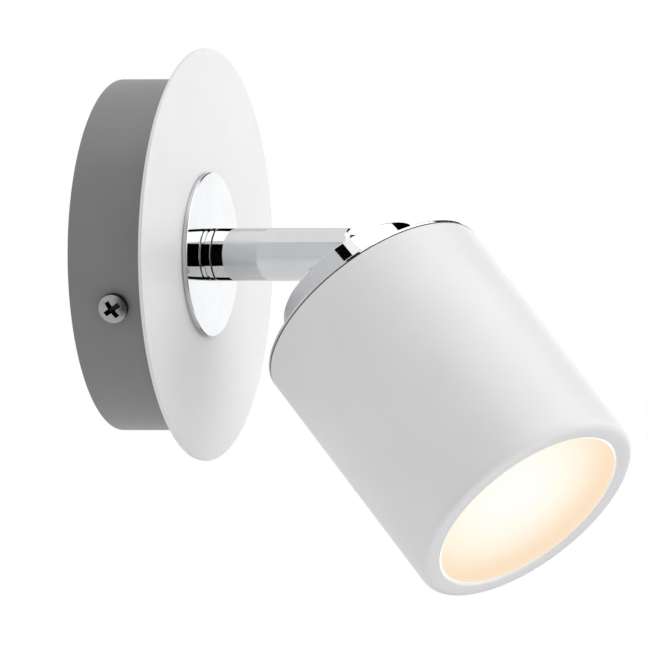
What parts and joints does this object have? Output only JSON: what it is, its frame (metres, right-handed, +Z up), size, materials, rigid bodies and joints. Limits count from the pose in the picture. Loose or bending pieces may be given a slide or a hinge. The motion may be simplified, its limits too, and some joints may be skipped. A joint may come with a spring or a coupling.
{
  "type": "wall spotlight",
  "caption": "Wall spotlight: a round cup base with a cover disc carries a chrome arm that swivels, and a cylindrical shade tilts on the hinge at the arm's end.",
  "frame": {"origin": "centre of the base on the wall plane, on the axis of the arm", "axes": "+Z up, -Y out of the wall along the arm, +X to the right when facing the wall"},
  "size_m": [0.1004, 0.1326, 0.1327],
  "materials": {
    "grey_lacquer": "satin",
    "white_lacquer": "satin",
    "chrome_plate": "polished",
    "zinc_steel": "satin",
    "tinned_copper": "satin",
    "washer_fibre": "matte",
    "block_polyamide": "matte",
    "brass": "satin",
    "lead_insulation": "satin",
    "earth_insulation": "satin",
    "cable_sheath": "satin",
    "black_polyamide": "matte",
    "silicone": "matte",
    "satin_glass": "satin",
    "steatite": "matte",
    "lamp_plastic": "satin",
    "board_aluminium": "satin",
    "reflector_film": "polished"
  },
  "bodies": {
    "base": {"wall_bracket": "zinc_steel", "base_cup": "grey_lacquer", "side_screws": "zinc_steel", "cover_disc": "white_lacquer", "rosette": "chrome_plate", "swivel_collar": "chrome_plate", "fibre_washer": "washer_fibre", "stop_pin": "zinc_steel", "terminal_block": "block_polyamide", "terminal_inserts": "brass", "terminal_screws": "brass", "block_screw": "zinc_steel", "earth_lug": "tinned_copper", "earth_screw": "zinc_steel", "supply_leads": "lead_insulation", "earth_lead": "earth_insulation"},
    "arm": {"arm": "chrome_plate", "swivel_stem": "zinc_steel", "spring_washer": "zinc_steel", "stop_washer": "zinc_steel", "lock_nut": "zinc_steel", "arm_cable": "cable_sheath", "tail_bush": "black_polyamide", "fork_bush": "black_polyamide", "pivot_screw": "zinc_steel", "hinge_washers": "black_polyamide"},
    "head": {"hinge_tongue": "chrome_plate", "foot_screws": "zinc_steel", "cap": "chrome_plate", "end_plate": "chrome_plate", "end_plate_screws": "zinc_steel", "grip_ring": "silicone", "shade": "white_lacquer", "glass_gasket": "silicone", "satin_glass": "satin_glass", "glass_clip": "zinc_steel", "holder_plate": "zinc_steel", "lamp_holder": "steatite", "holder_screws": "zinc_steel", "holder_contacts": "brass", "head_wires": "lead_insulation", "lamp_body": "lamp_plastic", "lamp_board": "board_aluminium", "lamp_reflector": "reflector_film", "lamp_lens": "satin_glass", "lamp_pins": "brass"}
  },
  "joints": [
    {"name": "arm_swivel", "type": "hinge", "parent": "base", "child": "arm", "pos_m": [0, -0.0242, 0], "axis": [0, -1, 0], "range_deg": [-146.1, 183.9]},
    {"name": "head_tilt", "type": "hinge", "parent": "arm", "child": "head", "pos_m": [0, -0.0535, 0], "axis": [0.9461, 0, -0.3239], "range_deg": [-139.2, 40.8]}
  ]
}
